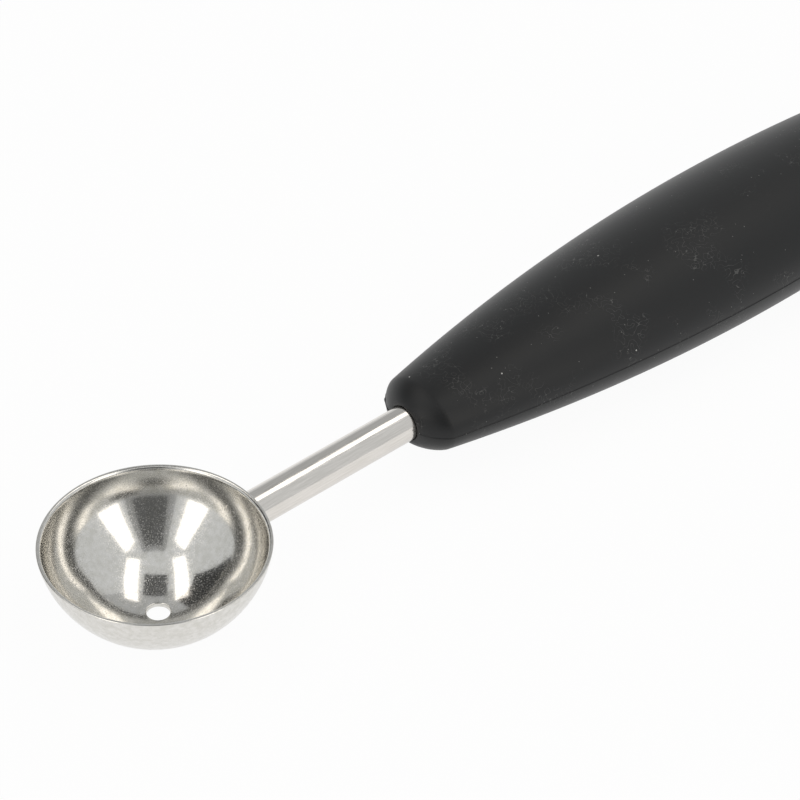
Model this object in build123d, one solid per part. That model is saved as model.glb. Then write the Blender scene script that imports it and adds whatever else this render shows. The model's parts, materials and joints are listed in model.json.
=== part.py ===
from build123d import *
from math import asin, cos, degrees, pi, sin, sqrt
import os

# Double-ended melon baller: two pressed steel scoops on tube necks, in one soft oval grip.
# Millimetres. X runs along the tool from the large scoop to the small one, Z is up and both
# scoops open upwards. The origin is on the table, under the middle of the tool's length.

# Scoops. A scoop's size is the width of its mouth inside the rim, about 1 1/8 and 7/8 inch.
large_mouth = 28.8
large_depth = 12.15
small_mouth = 22.4
small_depth = 9.5
bowl_wall = 0.7
rim_round = 0.25
juice_hole = 3.1

# Necks. A reach runs from the middle of the scoop to the face of the grip.
large_reach = 42.25
small_reach = 36.85
neck_width = 5.0
neck_wall = 0.7
anchor_hole = 2.6
anchor_hole_pitch = 8.0
anchor_holes = 2
weld_leg = 0.6
weld_chamfer_share = 0.8
small_rise = 3.4

# Grip. Its half width and half height follow a parabola from the middle to each end.
grip_length = 127.0
grip_width = 26.1
grip_height = 18.0
grip_end_width = 12.1
grip_end_height = 8.7
grip_stations = 7

# The soft grip flattens this much where it lies on the table, which keeps it from rolling.
rest_flat = 0.07

# Noses. Each swells from a small circle round the neck to the grip's oval, on a superellipse.
nose_length = 3.2
nose_lip = 0.12
nose_power = 1.7
nose_stations = 6
nose_wall = 5.0
neck_clearance = 0.1

# Core. The skin is how deep the core lies under the grip's surface.
core_skin = 2.8
core_end_skin = 1.0
channel_width = 6.0
channel_depth = 1.0
channel_pitch = 12.0
channels = 6
window_width = 4.0
windows = 3
neck_margin = 8.5

# One overrun serves every cut that has to pass through a face.
overrun = 1.0

neck_radius = neck_width / 2
bore_radius = neck_radius - neck_wall
neck_hole = neck_radius + neck_clearance
core_length = grip_length - 2 * nose_wall
neck_apart = (windows - 1) * channel_pitch + window_width + 2 * neck_margin
neck_anchor = (core_length - neck_apart) / 2


def ball_radius(mouth, depth):
    """Inside radius of the ball that a scoop of this mouth and depth is a cap of."""
    return ((mouth / 2) ** 2 + depth**2) / (2 * depth)


def rim_radius(mouth, depth):
    """Outside radius of a scoop at its rim."""
    inner = ball_radius(mouth, depth)
    return sqrt((inner + bowl_wall) ** 2 - (inner - depth) ** 2)


def hole_recess(mouth, depth):
    """How far the juice hole's outer edge lies above the ball's lowest point."""
    outer = ball_radius(mouth, depth) + bowl_wall
    return outer - sqrt(outer**2 - (juice_hole / 2) ** 2)


# The tool lies on the edge of the large juice hole and on the flat under the grip.
axis_z = grip_height / 2 - rest_flat
large_rim_z = large_depth + bowl_wall - hole_recess(large_mouth, large_depth)
small_rim_z = axis_z + small_rise
length = rim_radius(large_mouth, large_depth) + large_reach + grip_length
length += small_reach + rim_radius(small_mouth, small_depth)
large_x = rim_radius(large_mouth, large_depth) - length / 2
small_x = length / 2 - rim_radius(small_mouth, small_depth)
grip_x = large_x + large_reach + grip_length / 2


def rod(radius, start, stop):
    """Round bar along X between two places."""
    return Pos((start + stop) / 2, 0, 0) * Rot(0, 90, 0) * Cylinder(radius, stop - start)


def outer_ball(mouth, depth, growth=0):
    """Solid ball that the outside of a scoop lies on, turned so that its seam is off the neck."""
    inner = ball_radius(mouth, depth)
    return Pos(0, 0, inner - depth) * Rot(0, 0, 180) * Sphere(inner + bowl_wall + growth)


def make_bowl(mouth, depth):
    """Pressed cap with a rounded rim at z = 0 and a juice hole through its bottom."""
    inner = ball_radius(mouth, depth)
    outer = inner + bowl_wall
    centre = (0, inner - depth)
    inside = CenterArc(centre, inner, -90, 90 - degrees(asin((inner - depth) / inner)))
    outside = CenterArc(centre, outer, -90, 90 - degrees(asin((inner - depth) / outer)))
    rim = Line(inside @ 1, outside @ 1)
    pole = Line(inside @ 0, outside @ 0)
    bowl = revolve(Plane.XZ * make_face([inside, rim, outside, pole]), Axis.Z)
    bowl -= Pos(0, 0, -depth) * Cylinder(juice_hole / 2, 2 * (bowl_wall + overrun))
    rim_edges = bowl.edges().filter_by(GeomType.CIRCLE).group_by(Axis.Z)[-1]
    return fillet(rim_edges, rim_round)


def make_neck(mouth, depth, reach, drop):
    """Tube coped to the bowl, with cross holes in the end that the core locks into."""
    end = reach + nose_wall + neck_anchor
    neck = rod(neck_radius, 0, end) - rod(bore_radius, -overrun, end + overrun)
    for index in range(anchor_holes):
        place = end - (index + 1) * anchor_hole_pitch
        neck -= Pos(place, 0, 0) * Cylinder(anchor_hole / 2, neck_width + overrun)
    return Pos(0, 0, -drop) * neck - outer_ball(mouth, depth)


def make_weld(mouth, depth, reach, drop):
    """Fillet weld that runs round the neck where it meets the bowl."""
    bead = Pos(0, 0, -drop) * rod(neck_radius + weld_leg, 0, reach)
    bead &= outer_ball(mouth, depth, weld_leg)
    bead -= outer_ball(mouth, depth)
    crown = bead.faces().sort_by(Axis.X)[-1]
    bead = chamfer(crown.edges(), weld_leg * weld_chamfer_share)
    return bead - Pos(0, 0, -drop) * rod(neck_radius, 0, reach)


def grip_half(middle, end, share):
    """Half width of the grip at a share of the way from its end (0) to its middle (1)."""
    return (middle - (middle - end) * (1 - share) ** 2) / 2


def oval(place, half_width, half_height):
    """Flat oval across X."""
    plane = Plane(origin=(place, 0, 0), x_dir=(0, 1, 0), z_dir=(1, 0, 0))
    return plane * Ellipse(half_width, half_height)


def spindle(span, middle_size, end_size):
    """Oval bar along X, swelling from its ends to its middle on a parabola."""
    sections = []
    for index in range(grip_stations):
        along = 2 * index / (grip_stations - 1) - 1
        half_width = grip_half(middle_size[0], end_size[0], 1 - abs(along))
        half_height = grip_half(middle_size[1], end_size[1], 1 - abs(along))
        sections.append(oval(along * span / 2, half_width, half_height))
    return loft(sections)


def size_at(distance):
    """Width and height of the grip at a distance from its end."""
    share = 2 * distance / grip_length
    return (
        2 * grip_half(grip_width, grip_end_width, share),
        2 * grip_half(grip_height, grip_end_height, share),
    )


def make_nose():
    """Nose along X, from its face at 0 to the grip's oval at nose_length."""
    face = neck_hole + nose_lip
    sections = []
    for index in range(nose_stations):
        turn = pi / 2 * index / (nose_stations - 1)
        distance = nose_length * (1 - cos(turn) ** (2 / nose_power))
        swell = sin(turn) ** (2 / nose_power)
        half_sizes = [face + (size / 2 - face) * swell for size in size_at(distance)]
        sections.append(oval(distance, *half_sizes))
    return loft(sections)


def make_core_blank():
    """Moulded core with locking channels and flow windows, before the necks are in it."""
    middle = (grip_width - 2 * core_skin, grip_height - 2 * core_skin)
    end = [size - 2 * core_end_skin for size in size_at(nose_wall)]
    core = spindle(core_length, middle, end)
    floor_middle = [size - 2 * channel_depth for size in middle]
    floor_end = [size - 2 * channel_depth for size in end]
    floor = spindle(core_length, floor_middle, floor_end)
    for index in range(channels):
        place = (index - (channels - 1) / 2) * channel_pitch
        core -= Pos(place, 0, 0) * Box(channel_width, grip_width, grip_height) - floor
    for index in range(windows):
        place = (index - (windows - 1) / 2) * channel_pitch
        core -= Pos(place, 0, 0) * Cylinder(window_width / 2, grip_height)
    return core


def make_grip(core_blank):
    """Soft skin over the core, open at both rounded noses where the necks come out."""
    half = grip_length / 2
    nose = make_nose()
    body = spindle(grip_length - 2 * nose_length, (grip_width, grip_height), size_at(nose_length))
    body += Pos(-half, 0, 0) * nose
    body += Pos(half, 0, 0) * Rot(0, 0, 180) * nose
    body -= Pos(0, 0, -grip_height + rest_flat) * Box(grip_length, grip_width, grip_height)
    body -= core_blank
    body -= rod(neck_hole, -half - overrun, nose_wall - half)
    return body - rod(neck_hole, half - nose_wall, half + overrun)


def place_large(piece):
    return Pos(large_x, 0, large_rim_z) * piece


def place_small(piece):
    return Pos(small_x, 0, small_rim_z) * Rot(0, 0, 180) * piece


def main():
    large = (large_mouth, large_depth)
    small = (small_mouth, small_depth)
    large_drop = large_rim_z - axis_z
    parts = {
        "large_bowl": place_large(make_bowl(*large)),
        "large_neck": place_large(make_neck(*large, large_reach, large_drop)),
        "large_weld": place_large(make_weld(*large, large_reach, large_drop)),
        "small_bowl": place_small(make_bowl(*small)),
        "small_neck": place_small(make_neck(*small, small_reach, small_rise)),
        "small_weld": place_small(make_weld(*small, small_reach, small_rise)),
    }
    core_blank = make_core_blank()
    grip_place = Pos(grip_x, 0, axis_z)
    parts["grip"] = grip_place * make_grip(core_blank)
    parts["core"] = grip_place * core_blank - parts["large_neck"] - parts["small_neck"]
    os.makedirs("parts", exist_ok=True)
    for name, solid in parts.items():
        solid.label = name
        export_step(solid, f"parts/{name}.step")


main()
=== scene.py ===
"""Looks of a double-ended melon baller: polished scoops, satin necks and a soft rubber grip."""
import json
from math import atan2, cos, pi, radians, sin, sqrt

import bmesh
import bpy
from mathutils import Matrix, Vector


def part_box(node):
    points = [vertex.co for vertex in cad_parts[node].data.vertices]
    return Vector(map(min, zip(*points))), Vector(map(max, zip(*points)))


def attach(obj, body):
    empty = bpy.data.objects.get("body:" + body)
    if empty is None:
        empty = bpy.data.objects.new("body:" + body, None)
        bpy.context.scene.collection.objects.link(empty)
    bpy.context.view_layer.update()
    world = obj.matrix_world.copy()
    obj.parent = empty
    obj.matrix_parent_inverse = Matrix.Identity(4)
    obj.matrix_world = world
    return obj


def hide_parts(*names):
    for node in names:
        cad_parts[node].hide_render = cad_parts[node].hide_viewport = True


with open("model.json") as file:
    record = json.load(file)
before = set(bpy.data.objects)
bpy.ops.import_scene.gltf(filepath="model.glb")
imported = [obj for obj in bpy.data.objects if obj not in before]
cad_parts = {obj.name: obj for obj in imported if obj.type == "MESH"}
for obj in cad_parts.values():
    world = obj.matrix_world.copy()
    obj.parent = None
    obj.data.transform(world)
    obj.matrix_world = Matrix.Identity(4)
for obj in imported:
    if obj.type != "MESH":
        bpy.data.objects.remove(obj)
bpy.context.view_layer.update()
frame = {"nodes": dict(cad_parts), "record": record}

MM = 0.001

# Sizes of the object, in metres. Places come from the frame.
BOWL_WALL = 0.7 * MM
LARGE_MOUTH = 28.8 * MM
LARGE_DEPTH = 12.15 * MM
SMALL_MOUTH = 22.4 * MM
SMALL_DEPTH = 9.5 * MM
RIM_OUTER_ROUND = 0.12 * MM
RIM_INNER_ROUND = 0.42 * MM
HOLE_ROUND = 0.15 * MM
NECK_RADIUS = 2.5 * MM
NECK_BORE = 1.8 * MM
WELD_RADIUS = 0.38 * MM
NECK_GAP = 0.07 * MM
GRIP_END_WIDTH = 12.1 * MM
GRIP_END_HEIGHT = 8.7 * MM
NOSE_LENGTH = 3.2 * MM
NOSE_POWER = 1.7
NOSE_WALL = 5.0 * MM
NOSE_HOLE_ROUND = 0.12 * MM
PARTING_WIDTH = 0.16 * MM
PARTING_DEPTH = 0.09 * MM
SAME_PLACE = 0.001 * MM

# A pressed wall is thinnest part of the way up, which straightens what it reflects. Angles are
# in degrees up from the bottom of the scoop's ball.
THINNING = 0.335 * MM
THIN_FROM = 38.5
THIN_MOST = 66.2
THIN_TO = 89.2

# Scraps of flash left on the parting line: distance from the nose's face, half length and stand.
FLASH_SCRAPS = ((2.35 * MM, 0.3 * MM, 0.42 * MM), (1.3 * MM, 0.35 * MM, 0.15 * MM))
FLASH_WIDTH = 0.25 * MM
FLASH_TAPER = (0.4, 0.4, 0.6)

# Mesh fineness. Edges below the smooth angle, in degrees, are shaded smooth.
SCOOP_SEGMENTS = 256
SCOOP_RINGS = 128
SCOOP_STEPS = 56
RIM_STEPS = 8
NECK_SEGMENTS = 128
WELD_STEPS = 32
WELD_FINENESS = 4
GRIP_SEGMENTS = 128
GRIP_STEPS = 36
NOSE_STEPS = 16
NOSE_HOLE_STEPS = 3
SMOOTH_ANGLE = 40

# Lint on the grip: each kind of speck's spacing, radius and plainness, and the threads'.
LINT_SPECKS = ((1.4 * MM, 0.08 * MM, 0.25), (4 * MM, 0.11 * MM, 1))
LINT_THREADS = 0.12

# The camera looks at a point on the grip's axis, near its nose. Angles are in degrees.
AIM = (-56.64 * MM, 3.82 * MM, 9.08 * MM)
AIM_DISTANCE = 479.34 * MM
CAMERA_TURN = 41.53
CAMERA_TILT = 40.48
CAMERA_ROLL = 0.383
CAMERA_LENS = 160.35
CAMERA_SENSOR = 36
CAMERA_NEAR = 0.01

# The studio is turned with the camera. Its places are right, away and up from the large scoop,
# and its angles are in degrees, from the camera's right towards away.
CEILING = 0.9
STRIP_WIDTH = 0.24
STRIP_LENGTH = 0.87
STRIP_TURN = 3.4
STRIP_PLACES = ((0.370, 0.210), (-0.401, 0.155))
PANEL_DISTANCE = 0.9
PANEL_WIDTH = 0.36
PANEL_LOW = 0.18
PANEL_HIGH = 1.28
PANEL_ANGLES = (-39.3, -130.8)
LAMP_RADIANCE = 1.45
ROOM_LEVEL = 0.69

# Dark openings in the room: how light each one is, and the bands of directions that bound it.
# Turn and lift are in degrees. The others are distances over a ceiling at a height of 1.
OPENINGS = (
    (0.34, {"turn": (-108, -57), "lift": (7, 65)}),
    (0.12, {"turn": (-100, -65), "lift": (11, 60)}),
    (0.11, {"right": (-0.19, 0.19), "away": (0, 0.47)}),
    (0.05, {"turn": (121, 169), "lift": (21, 54), "slant": (-0.14, 9)}),
    (0.47, {"turn": (45, 128), "lift": (14, 66)}),
)
SLANT = 0.29
HORIZON = 0.01

# The floor's size and its place under the tool, and how white the camera and the steel see it.
FLOOR_WHITE = 0.95
FLOOR_REFLECTED = 0.72
FLOOR_SIZE = 8.0
FLOOR_DROP = 0.02 * MM


def linear(hex_colour):
    """The linear colour of an sRGB hex value, with full alpha."""
    channels = [int(hex_colour[i:i + 2], 16) / 255 for i in (1, 3, 5)]
    return [c / 12.92 if c <= 0.04045 else ((c + 0.055) / 1.055) ** 2.4 for c in channels] + [1]


def set_inputs(tree, node, inputs):
    """Sets a node's inputs by name. Each is a value, or a socket to link from."""
    for name, value in inputs.items():
        if isinstance(value, bpy.types.NodeSocket):
            tree.links.new(value, node.inputs[name])
        else:
            node.inputs[name].default_value = value


def add_node(tree, kind, inputs=None, **settings):
    """Adds a node with its properties and its inputs."""
    node = tree.nodes.new(kind)
    for name, value in settings.items():
        setattr(node, name, value)
    set_inputs(tree, node, inputs or {})
    return node


def start_material(name):
    """A new material, its node tree, its shader and the object's coordinates."""
    material = bpy.data.materials.new(name)
    material.use_nodes = True
    tree = material.node_tree
    place = add_node(tree, "ShaderNodeTexCoord").outputs["Object"]
    return material, tree, tree.nodes["Principled BSDF"], place


def buffed_stainless():
    """Pressed stainless sheet, buffed.

    The eye sees sharp reflections, salted with dull grains, and a faint mottle in the plain parts.
    Towards the rim, where the buffing wheel reaches less, the reflections are softer.
    The real grains are finer than the picture shows, so they are drawn 0.15 mm wide.
    """
    material, tree, shader, place = start_material("buffed_stainless")
    mottle = add_node(tree, "ShaderNodeTexNoise", {"Vector": place, "Scale": 1 / (0.8 * MM),
                                                   "Detail": 3})
    patches = add_node(tree, "ShaderNodeMapRange", {"Value": mottle.outputs["Fac"],
                                                    "From Min": 0.35, "From Max": 0.65})
    colour = add_node(tree, "ShaderNodeMix", {"Factor": patches.outputs["Result"],
                                              "A": linear("#D9D7D1"), "B": linear("#E5E3DF")},
                      data_type="RGBA")
    grain = add_node(tree, "ShaderNodeTexNoise", {"Vector": place, "Scale": 1 / (0.15 * MM),
                                                  "Detail": 1, "Roughness": 0.5})
    rough = add_node(tree, "ShaderNodeMapRange", {"Value": grain.outputs["Fac"], "From Min": 0.45,
                                                  "From Max": 0.72, "To Min": 0.07, "To Max": 0.32})
    axes = add_node(tree, "ShaderNodeSeparateXYZ", {"Vector": place})
    soft = add_node(tree, "ShaderNodeMapRange", {"Value": axes.outputs["Z"], "From Min": 7 * MM,
                                                 "From Max": 10 * MM, "To Min": 0.08,
                                                 "To Max": 0.17})
    dull = add_node(tree, "ShaderNodeMath", {0: rough.outputs["Result"],
                                             1: soft.outputs["Result"]}, operation="MAXIMUM")
    bump = add_node(tree, "ShaderNodeBump", {"Height": grain.outputs["Fac"], "Strength": 1,
                                             "Distance": 0.0015 * MM})
    set_inputs(tree, shader, {"Base Color": colour.outputs["Result"], "Metallic": 1,
                              "Roughness": dull.outputs[0], "Normal": bump.outputs["Normal"]})
    return material


def satin_stainless():
    """Drawn stainless tube, ground lengthwise. The eye sees crisp bands with faint long lines.

    The real lines are finer than the picture shows, so they are drawn 0.15 mm wide.
    """
    material, tree, shader, place = start_material("satin_stainless")
    drawn = add_node(tree, "ShaderNodeMapping", {"Vector": place, "Scale": (0.05, 1, 1)})
    lines = add_node(tree, "ShaderNodeTexNoise", {"Vector": drawn.outputs["Vector"],
                                                  "Scale": 1 / (0.15 * MM), "Detail": 3})
    tones = add_node(tree, "ShaderNodeMapRange", {"Value": lines.outputs["Fac"], "From Min": 0.35,
                                                  "From Max": 0.65})
    colour = add_node(tree, "ShaderNodeMix", {"Factor": tones.outputs["Result"],
                                              "A": linear("#DEDAD4"), "B": linear("#E9E5E0")},
                      data_type="RGBA")
    rough = add_node(tree, "ShaderNodeMapRange", {"Value": lines.outputs["Fac"], "From Min": 0.3,
                                                  "From Max": 0.7, "To Min": 0.06, "To Max": 0.2})
    bump = add_node(tree, "ShaderNodeBump", {"Height": lines.outputs["Fac"], "Strength": 0.3,
                                             "Distance": 0.01 * MM})
    set_inputs(tree, shader, {"Base Color": colour.outputs["Result"], "Metallic": 1,
                              "Roughness": rough.outputs["Result"],
                              "Normal": bump.outputs["Normal"]})
    return material


def soft_rubber():
    """Moulded thermoplastic rubber, eroded mould finish, a little handled.

    The eye sees dry charcoal that pales towards its outline, with specks and threads of lint.
    The mould's texture is finer than the picture shows, so it is drawn 0.25 mm wide.
    """
    material, tree, shader, place = start_material("soft_rubber")
    drifts = add_node(tree, "ShaderNodeTexNoise", {"Vector": place, "Scale": 1 / (6 * MM),
                                                   "Detail": 2})
    drift = add_node(tree, "ShaderNodeMapRange", {"Value": drifts.outputs["Fac"], "From Min": 0.52,
                                                  "From Max": 0.62})
    curls = add_node(tree, "ShaderNodeTexNoise", {"Vector": place, "Scale": 1 / (0.7 * MM),
                                                  "Detail": 0})
    thread = add_node(tree, "ShaderNodeMath", {0: curls.outputs["Fac"], 1: 0.5, 2: 0.012},
                      operation="COMPARE")
    lint = add_node(tree, "ShaderNodeMath", {0: thread.outputs[0], 1: drift.outputs["Result"]},
                    operation="MULTIPLY")
    lint = add_node(tree, "ShaderNodeMath", {0: lint.outputs[0], 1: LINT_THREADS},
                    operation="MULTIPLY")
    for spacing, radius, plainness in LINT_SPECKS:
        specks = add_node(tree, "ShaderNodeTexVoronoi", {"Vector": place, "Scale": 1 / spacing})
        speck = add_node(tree, "ShaderNodeMath", {0: specks.outputs["Distance"],
                                                  1: radius / spacing}, operation="LESS_THAN")
        dot = add_node(tree, "ShaderNodeMath", {0: speck.outputs[0], 1: plainness},
                       operation="MULTIPLY")
        lint = add_node(tree, "ShaderNodeMath", {0: lint.outputs[0], 1: dot.outputs[0]},
                        operation="MAXIMUM")
    colour = add_node(tree, "ShaderNodeMix", {"Factor": lint.outputs[0],
                                              "A": linear("#090B0D"), "B": linear("#B9B9B6")},
                      data_type="RGBA")
    grain = add_node(tree, "ShaderNodeTexNoise", {"Vector": place, "Scale": 1 / (0.25 * MM),
                                                  "Detail": 3})
    bump = add_node(tree, "ShaderNodeBump", {"Height": grain.outputs["Fac"], "Strength": 0.3,
                                             "Distance": 0.02 * MM})
    set_inputs(tree, shader, {"Base Color": colour.outputs["Result"], "Roughness": 0.44,
                              "Specular IOR Level": 0.4, "Sheen Weight": 0.14,
                              "Normal": bump.outputs["Normal"]})
    return material


def moulded_polypropylene():
    """Injection-moulded core, natural black. It is sealed in the grip."""
    material, tree, shader, _ = start_material("moulded_polypropylene")
    set_inputs(tree, shader, {"Base Color": linear("#1C1C1E"), "Roughness": 0.5})
    return material


def white_floor():
    """Seamless white paper. The eye sees plain white with the tool's soft shadow."""
    material, tree, shader, _ = start_material("white_paper")
    set_inputs(tree, shader, {"Base Color": linear("#FBFBFB"), "Roughness": 1,
                              "Specular IOR Level": 0})
    white = add_node(tree, "ShaderNodeEmission", {"Color": linear("#FFFFFF"), "Strength": 1})
    rays = add_node(tree, "ShaderNodeLightPath")
    seen = add_node(tree, "ShaderNodeMath", {0: rays.outputs["Is Camera Ray"], 1: FLOOR_WHITE},
                    operation="MULTIPLY")
    share = add_node(tree, "ShaderNodeMath", {0: rays.outputs["Is Glossy Ray"],
                                              1: FLOOR_REFLECTED, 2: seen.outputs[0]},
                     operation="MULTIPLY_ADD")
    mixed = add_node(tree, "ShaderNodeMixShader", {0: share.outputs[0],
                                                   1: shader.outputs["BSDF"],
                                                   2: white.outputs["Emission"]})
    tree.links.new(mixed.outputs[0], tree.nodes["Material Output"].inputs["Surface"])
    return material


def make_active(*pieces):
    """Deselects everything, then selects the pieces and makes the first one active."""
    bpy.ops.object.select_all(action="DESELECT")
    for piece in pieces:
        piece.select_set(True)
    bpy.context.view_layer.objects.active = pieces[0]


def settle(name):
    """Names the object just added and puts its place into its mesh."""
    piece = bpy.context.object
    make_active(piece)
    piece.name = name
    bpy.ops.object.transform_apply(location=True, rotation=True, scale=True)
    return piece


def pick(piece, kind, test):
    """In edit mode, selects the elements that pass a test and nothing else."""
    bpy.ops.mesh.select_mode(type=kind)
    bpy.ops.mesh.select_all(action="DESELECT")
    mesh = bmesh.from_edit_mesh(piece.data)
    for element in {"VERT": mesh.verts, "EDGE": mesh.edges, "FACE": mesh.faces}[kind]:
        if test(element):
            element.select_set(True)
    mesh.select_flush_mode()
    bmesh.update_edit_mesh(piece.data)


def finish_piece(piece, material, node):
    """Smooths a piece, gives it its material and puts it in the place of its node."""
    make_active(piece)
    bpy.ops.object.shade_smooth_by_angle(angle=radians(SMOOTH_ANGLE))
    piece.data.materials.clear()
    piece.data.materials.append(material)
    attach(piece, "root")
    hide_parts(node)


def ball_radius(mouth, depth):
    """Inside radius of the ball that a scoop of this mouth and depth is a cap of."""
    return ((mouth / 2) ** 2 + depth ** 2) / (2 * depth)


def scoop_place(node):
    """Centre of a scoop's rim, from its node's box."""
    low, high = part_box(node)
    return Vector(((low[0] + high[0]) / 2, 0, high[2]))


def outer_ball(bowl, mouth, depth):
    """Centre and radius of the ball that the outside of a scoop lies on."""
    inner = ball_radius(mouth, depth)
    return scoop_place(bowl) + Vector((0, 0, inner - depth)), inner + BOWL_WALL


def hole_radius(mount_name):
    mounts = {mount["name"]: mount for mount in frame["record"]["mounts"]}
    return mounts[mount_name]["dims"]["r_mm"] * MM


def arc(centre, start, end, steps):
    """Points of a (radius, height) section along the short arc from start to end."""
    first = atan2(start[1] - centre[1], start[0] - centre[0])
    sweep = atan2(end[1] - centre[1], end[0] - centre[0]) - first
    sweep -= 2 * pi * round(sweep / (2 * pi))
    size = sqrt((start[0] - centre[0]) ** 2 + (start[1] - centre[1]) ** 2)
    turns = [first + sweep * step / steps for step in range(steps + 1)]
    return [(centre[0] + size * cos(turn), centre[1] + size * sin(turn)) for turn in turns]


def edge_round(ball, lift, size, hole=None):
    """Centre and two contact points of a round between a ball and the rim, or a hole's wall.

    The ball's centre is lift above the rim. A round outside the ball has a positive size.
    """
    reach = ball + size
    thick = abs(size)
    if hole is None:
        centre = (sqrt(reach ** 2 - (lift + thick) ** 2), -thick)
        flat = (centre[0], 0)
    else:
        centre = (hole + thick, lift - sqrt(reach ** 2 - (hole + thick) ** 2))
        flat = (hole, centre[1])
    share = ball / reach
    return centre, (centre[0] * share, lift + (centre[1] - lift) * share), flat


def thinned(point, lift):
    """A point of the inner ball, moved out by as much as the wall is thinner there."""
    turn = atan2(point[0], lift - point[1])
    rise = (turn - radians(THIN_FROM)) / radians(THIN_MOST - THIN_FROM)
    fall = (radians(THIN_TO) - turn) / radians(THIN_TO - THIN_MOST)
    share = min(max(min(rise, fall), 0), 1)
    out = THINNING * (1 - cos(pi * share)) / 2
    return point[0] + out * sin(turn), point[1] - out * cos(turn)


def scoop_section(mouth, depth, hole):
    """Closed section of a scoop, as distances from its axis and heights above its rim."""
    inner = ball_radius(mouth, depth)
    outer = inner + BOWL_WALL
    lift = inner - depth
    contact = thinned(edge_round(inner, lift, RIM_INNER_ROUND)[1], lift)
    rim_ball = sqrt(contact[0] ** 2 + (lift - contact[1]) ** 2)
    rim_in = edge_round(rim_ball, lift, RIM_INNER_ROUND)
    rim_out = edge_round(outer, lift, -RIM_OUTER_ROUND)
    hole_in = edge_round(inner, lift, HOLE_ROUND, hole)
    hole_out = edge_round(outer, lift, -HOLE_ROUND, hole)
    middle = (0, lift)
    return ([thinned(point, lift) for point in arc(middle, hole_in[1], rim_in[1], SCOOP_STEPS)]
            + arc(rim_in[0], rim_in[1], rim_in[2], RIM_STEPS)[1:]
            + arc(rim_out[0], rim_out[2], rim_out[1], RIM_STEPS)
            + arc(middle, rim_out[1], hole_out[1], SCOOP_STEPS)[1:]
            + arc(hole_out[0], hole_out[1], hole_out[2], RIM_STEPS)[1:]
            + arc(hole_in[0], hole_in[2], hole_in[1], RIM_STEPS))


def make_scoop(name, node, mouth, depth, material):
    """Pressed bowl with rounded edges: its section, drawn point by point and spun."""
    rim = scoop_place(node)
    section = scoop_section(mouth, depth, hole_radius(node.replace("bowl", "juice_hole")))
    start = section[0]
    bpy.ops.mesh.primitive_plane_add(size=BOWL_WALL, location=(rim.x + start[0], 0,
                                                               rim.z + start[1]))
    scoop = settle(name)
    bpy.ops.object.mode_set(mode="EDIT")
    bpy.ops.mesh.select_all(action="SELECT")
    bpy.ops.mesh.merge(type="CENTER")
    for before, after in zip(section, section[1:]):
        step = (after[0] - before[0], 0, after[1] - before[1])
        bpy.ops.mesh.extrude_region_move(TRANSFORM_OT_translate={"value": step})
    bpy.ops.mesh.select_all(action="SELECT")
    bpy.ops.mesh.spin(steps=SCOOP_SEGMENTS, angle=2 * pi, center=rim, axis=(0, 0, 1))
    bpy.ops.mesh.select_all(action="SELECT")
    bpy.ops.mesh.remove_doubles(threshold=SAME_PLACE)
    bpy.ops.mesh.normals_make_consistent(inside=False)
    bpy.ops.object.mode_set(mode="OBJECT")
    finish_piece(scoop, material, node)


def cut_with(piece, tool):
    """Cuts a tool's shape out of a piece and removes the tool."""
    cut = piece.modifiers.new("cut", "BOOLEAN")
    cut.operation = "DIFFERENCE"
    cut.solver = "EXACT"
    cut.object = tool
    make_active(piece)
    bpy.ops.object.modifier_apply(modifier=cut.name)
    bpy.data.objects.remove(tool, do_unlink=True)


def add_rod(name, radius, start, stop, height):
    """Round bar along X."""
    bpy.ops.mesh.primitive_cylinder_add(vertices=NECK_SEGMENTS, radius=radius,
                                        depth=abs(stop - start),
                                        location=((start + stop) / 2, 0, height),
                                        rotation=(0, pi / 2, 0))
    return settle(name)


def make_neck(name, node, bowl, mouth, depth, axis_z, material):
    """Tube, coped to the outside of its bowl, that runs into the grip."""
    centre, radius = outer_ball(bowl, mouth, depth)
    low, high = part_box(node)
    towards = 1 if centre.x < 0 else -1
    inner_end = high[0] if towards > 0 else low[0]
    neck = add_rod(name, NECK_RADIUS, centre.x, inner_end, axis_z)
    bore = add_rod(name + "_bore", NECK_BORE, centre.x, inner_end + towards * BOWL_WALL, axis_z)
    cut_with(neck, bore)
    bpy.ops.mesh.primitive_uv_sphere_add(segments=SCOOP_SEGMENTS, ring_count=SCOOP_RINGS,
                                         radius=radius, location=centre)
    cut_with(neck, settle(name + "_cope"))
    finish_piece(neck, material, node)


def make_weld(name, node, bowl, mouth, depth, axis_z, material):
    """Weld bead along the line where the neck's surface meets the bowl's."""
    centre, radius = outer_ball(bowl, mouth, depth)
    towards = 1 if centre.x < 0 else -1
    line = bpy.data.curves.new(name, "CURVE")
    line.dimensions = "3D"
    line.resolution_u = WELD_FINENESS
    line.bevel_depth = WELD_RADIUS
    line.bevel_resolution = WELD_FINENESS
    spline = line.splines.new("NURBS")
    spline.points.add(WELD_STEPS - 1)
    for step, point in enumerate(spline.points):
        turn = 2 * pi * step / WELD_STEPS
        y = NECK_RADIUS * sin(turn)
        z = axis_z + NECK_RADIUS * cos(turn)
        x = centre.x + towards * sqrt(radius ** 2 - y ** 2 - (z - centre.z) ** 2)
        point.co = (x, y, z, 1)
    spline.use_cyclic_u = True
    spline.order_u = 4
    weld = bpy.data.objects.new(name, line)
    bpy.context.collection.objects.link(weld)
    make_active(weld)
    bpy.ops.object.convert(target="MESH")
    finish_piece(bpy.context.object, material, node)


def grip_half(middle, end, share):
    """Half width at a share of the way from the grip's end (0) to its middle (1)."""
    return (middle - (middle - end) * (1 - share) ** 2) / 2


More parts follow.
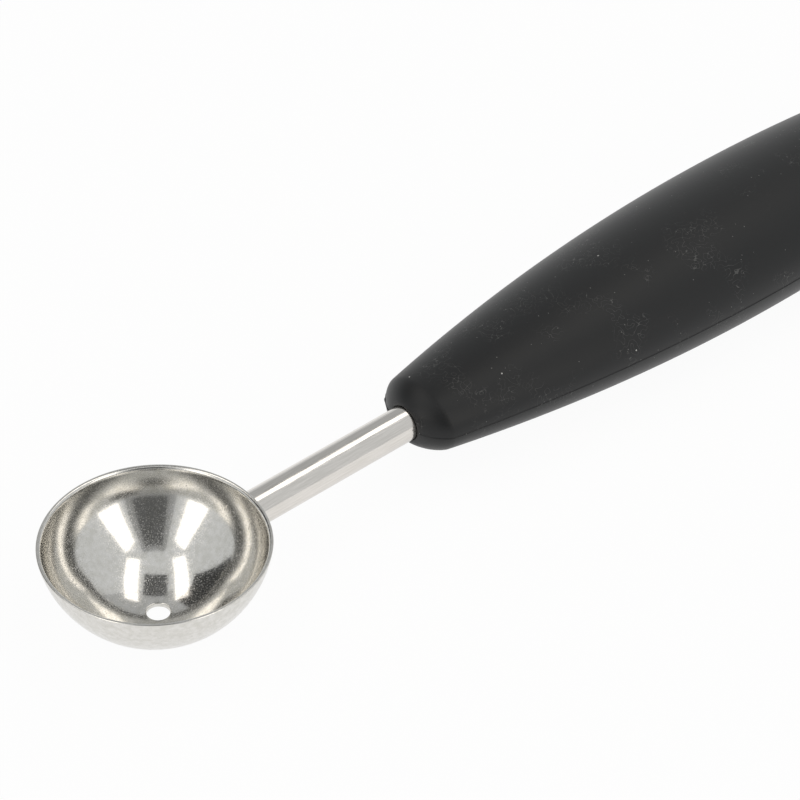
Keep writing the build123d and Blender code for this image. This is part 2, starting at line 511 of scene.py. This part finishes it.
def grip_stations(length, width, height):
    """Sections of half the grip, from inside the nose's hole to the middle.

    Each is a distance from the nose's face, a half width and a half height.
    """
    hole = NECK_RADIUS + NECK_GAP
    face = hole + NOSE_HOLE_ROUND
    stations = [(NOSE_WALL, hole, hole)]
    for step in range(NOSE_HOLE_STEPS + 1):
        turn = pi / 2 * step / NOSE_HOLE_STEPS
        radius = face - NOSE_HOLE_ROUND * cos(turn)
        stations.append((NOSE_HOLE_ROUND * (1 - sin(turn)), radius, radius))

    def half_sizes(distance):
        share = distance / (length / 2)
        return (grip_half(width, GRIP_END_WIDTH, share), grip_half(height, GRIP_END_HEIGHT, share))

    for step in range(1, NOSE_STEPS + 1):
        turn = pi / 2 * step / NOSE_STEPS
        distance = NOSE_LENGTH * (1 - cos(turn) ** (2 / NOSE_POWER))
        swell = sin(turn) ** (2 / NOSE_POWER)
        stations.append((distance, *[face + (half - face) * swell
                                     for half in half_sizes(distance)]))
    for step in range(1, GRIP_STEPS + 1):
        distance = NOSE_LENGTH + (length / 2 - NOSE_LENGTH) * step / GRIP_STEPS
        stations.append((distance, *half_sizes(distance)))
    return stations


def make_grip(axis_z, material):
    """Oval spindle, extruded and resized from section to section, with a parting line.

    It is flattened a little where it lies on the table.
    """
    low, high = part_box("grip")
    length = high[0] - low[0]
    half = grip_stations(length, high[1] - low[1], 2 * (high[2] - axis_z))
    sections = [(low[0] + distance, *sizes) for distance, *sizes in half]
    sections += [(high[0] - distance, *sizes) for distance, *sizes in half[-2::-1]]
    x, half_width, half_height = sections[0]
    bpy.ops.mesh.primitive_circle_add(vertices=GRIP_SEGMENTS, radius=half_width,
                                      location=(x, 0, axis_z), rotation=(0, pi / 2, 0))
    grip = settle("grip_skin")
    bpy.ops.object.mode_set(mode="EDIT")
    bpy.ops.mesh.select_all(action="SELECT")
    for next_x, next_width, next_height in sections[1:]:
        bpy.ops.mesh.extrude_region_move(TRANSFORM_OT_translate={"value": (next_x - x, 0, 0)})
        bpy.ops.transform.resize(value=(1, next_width / half_width, next_height / half_height),
                                 center_override=(next_x, 0, axis_z))
        x, half_width, half_height = next_x, next_width, next_height
    for end in (sections[0][0], sections[-1][0]):
        pick(grip, "EDGE", lambda edge: edge.is_boundary
             and all(abs(vert.co.x - end) < SAME_PLACE for vert in edge.verts))
        bpy.ops.mesh.edge_face_add()
    pick(grip, "VERT", lambda vert: vert.co.z < low[2])
    bpy.ops.transform.resize(value=(1, 1, 0), center_override=low)
    cut_parting_line(grip, axis_z)
    bpy.ops.mesh.select_all(action="SELECT")
    bpy.ops.mesh.normals_make_consistent(inside=False)
    for distance, reach, stand in FLASH_SCRAPS:
        raise_flash(grip, low[0] + distance, axis_z, reach, stand)
    bpy.ops.object.mode_set(mode="OBJECT")
    finish_piece(grip, material, "grip")


def cut_parting_line(grip, axis_z):
    """Hairline groove where the two halves of the mould met, along both sides."""
    outside = NECK_RADIUS + NECK_GAP + NOSE_HOLE_ROUND * 2

    def on_line(vert):
        return abs(vert.co.z - axis_z) < SAME_PLACE and abs(vert.co.y) > outside

    pick(grip, "EDGE", lambda edge: all(on_line(vert) for vert in edge.verts))
    bpy.ops.mesh.bevel(offset=PARTING_WIDTH / 2, segments=2, affect="EDGES")
    pick(grip, "VERT", on_line)
    bpy.ops.transform.shrink_fatten(value=-PARTING_DEPTH)


def raise_flash(grip, x, z, reach, stand):
    """Draws a few faces on the far side of the nose out to a ragged scrap of flash."""
    def near(face):
        centre = face.calc_center_median()
        return centre.y > 0 and abs(centre.x - x) < reach and abs(centre.z - z) < FLASH_WIDTH

    pick(grip, "FACE", near)
    bpy.ops.mesh.extrude_region_shrink_fatten(TRANSFORM_OT_shrink_fatten={"value": stand})
    bpy.ops.transform.resize(value=FLASH_TAPER)


def studio_axes():
    """Right and away from the camera, level with the floor."""
    turn = radians(CAMERA_TURN)
    return Vector((cos(turn), -sin(turn), 0)), Vector((sin(turn), cos(turn), 0))


def add_light(name, place, across, upward, width, height):
    """Flat soft light at a place from the large scoop. The camera doesn't see it."""
    lamp = bpy.data.lights.new(name, "AREA")
    lamp.shape = "RECTANGLE"
    lamp.size = width
    lamp.size_y = height
    lamp.energy = LAMP_RADIANCE * pi * width * height
    lamp.color = linear("#FFF8F0")[:3]
    light = bpy.data.objects.new(name, lamp)
    bpy.context.collection.objects.link(light)
    facing = Matrix((across, upward, across.cross(upward))).transposed().to_4x4()
    light.matrix_world = Matrix.Translation(scoop_place("large_bowl") + place) @ facing
    light.visible_camera = False


def add_lights():
    """Two strips overhead and two tall panels beside the camera."""
    right, away = studio_axes()
    up = Vector((0, 0, 1))
    turn = radians(STRIP_TURN)
    along = away * cos(turn) - right * sin(turn)
    for across, back in STRIP_PLACES:
        add_light("ceiling_strip", right * across + away * back + up * CEILING,
                  along.cross(up), along, STRIP_WIDTH, STRIP_LENGTH)
    for angle in PANEL_ANGLES:
        outward = right * cos(radians(angle)) + away * sin(radians(angle))
        add_light("side_panel", outward * PANEL_DISTANCE + up * (PANEL_LOW + PANEL_HIGH) / 2,
                  up.cross(outward), up, PANEL_WIDTH, PANEL_HIGH - PANEL_LOW)


def add_room():
    """World: a pale room with dark openings, and plain white for the camera."""
    world = bpy.data.worlds.new("studio")
    bpy.context.scene.world = world
    world.use_nodes = True
    tree = world.node_tree
    tree.nodes.clear()
    out = add_node(tree, "ShaderNodeOutputWorld")
    direction = add_node(tree, "ShaderNodeTexCoord").outputs["Generated"]
    turned = add_node(tree, "ShaderNodeVectorRotate", {"Vector": direction,
                                                       "Angle": radians(CAMERA_TURN)},
                      rotation_type="Z_AXIS")
    axes = add_node(tree, "ShaderNodeSeparateXYZ", {"Vector": turned.outputs["Vector"]})
    right, away, up = axes.outputs
    height = add_node(tree, "ShaderNodeMath", {0: up, 1: HORIZON}, operation="MAXIMUM").outputs[0]
    over_right = add_node(tree, "ShaderNodeMath", {0: right, 1: height}, operation="DIVIDE")
    over_away = add_node(tree, "ShaderNodeMath", {0: away, 1: height}, operation="DIVIDE")
    slant = add_node(tree, "ShaderNodeMath", {0: over_right.outputs[0], 1: SLANT,
                                              2: over_away.outputs[0]}, operation="MULTIPLY_ADD")
    turn = add_node(tree, "ShaderNodeMath", {0: away, 1: right}, operation="ARCTAN2")
    lift = add_node(tree, "ShaderNodeMath", {0: up}, operation="ARCSINE")
    measures = {"turn": (turn, radians(1)), "lift": (lift, radians(1)), "right": (over_right, 1),
                "away": (over_away, 1), "slant": (slant, 1)}
    darkest = 0
    for light, bands in OPENINGS:
        shade = ROOM_LEVEL - light
        for name, (low, high) in bands.items():
            measure, unit = measures[name]
            inside = add_node(tree, "ShaderNodeMath", {0: measure.outputs[0],
                                                       1: (low + high) / 2 * unit,
                                                       2: (high - low) / 2 * unit},
                              operation="COMPARE")
            shade = add_node(tree, "ShaderNodeMath", {0: inside.outputs[0], 1: shade},
                             operation="MULTIPLY").outputs[0]
        darkest = add_node(tree, "ShaderNodeMath", {0: darkest, 1: shade},
                           operation="MAXIMUM").outputs[0]
    level = add_node(tree, "ShaderNodeMath", {0: ROOM_LEVEL, 1: darkest}, operation="SUBTRACT")
    room = add_node(tree, "ShaderNodeBackground", {"Strength": level.outputs[0],
                                                   "Color": linear("#FCFEFF")})
    plain = add_node(tree, "ShaderNodeBackground", {"Color": linear("#FFFFFF"), "Strength": 1})
    rays = add_node(tree, "ShaderNodeLightPath")
    mixed = add_node(tree, "ShaderNodeMixShader", {"Fac": rays.outputs["Is Camera Ray"],
                                                   1: room.outputs[0], 2: plain.outputs[0]})
    tree.links.new(mixed.outputs[0], out.inputs["Surface"])


def add_floor():
    """The floor, a hair under the tool, so that their faces don't meet."""
    bpy.ops.mesh.primitive_plane_add(size=FLOOR_SIZE, location=(0, 0, -FLOOR_DROP))
    floor = settle("paper_floor")
    floor.data.materials.append(white_floor())


def add_camera():
    """The photo's camera, fitted to its outline."""
    camera = bpy.data.objects.new("camera", bpy.data.cameras.new("camera"))
    camera.data.lens = CAMERA_LENS
    camera.data.sensor_width = CAMERA_SENSOR
    camera.data.clip_start = CAMERA_NEAR
    bpy.context.collection.objects.link(camera)
    facing = Matrix.Rotation(radians(-CAMERA_TURN), 4, "Z")
    facing @= Matrix.Rotation(radians(90 - CAMERA_TILT), 4, "X")
    facing @= Matrix.Rotation(radians(CAMERA_ROLL), 4, "Z")
    back = facing @ Vector((0, 0, AIM_DISTANCE))
    camera.matrix_world = Matrix.Translation(Vector(AIM) + back) @ facing
    bpy.context.scene.camera = camera


def main():
    bowl_steel = buffed_stainless()
    neck_steel = satin_stainless()
    rubber = soft_rubber()
    low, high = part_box("large_neck")
    axis_z = (low[2] + high[2]) / 2
    for size, mouth, depth in (("large", LARGE_MOUTH, LARGE_DEPTH),
                               ("small", SMALL_MOUTH, SMALL_DEPTH)):
        bowl = size + "_bowl"
        make_scoop(size + "_scoop", bowl, mouth, depth, bowl_steel)
        make_neck(size + "_tube", size + "_neck", bowl, mouth, depth, axis_z, neck_steel)
        make_weld(size + "_bead", size + "_weld", bowl, mouth, depth, axis_z, neck_steel)
    make_grip(axis_z, rubber)
    # The core is sealed in the grip, so it keeps its CAD mesh and only gets its plastic.
    core_plastic = moulded_polypropylene()
    for slot in frame["nodes"]["core"].material_slots:
        slot.material = core_plastic
    add_floor()
    add_lights()
    add_room()
    add_camera()
    bpy.context.scene.view_settings.view_transform = "Standard"


main()
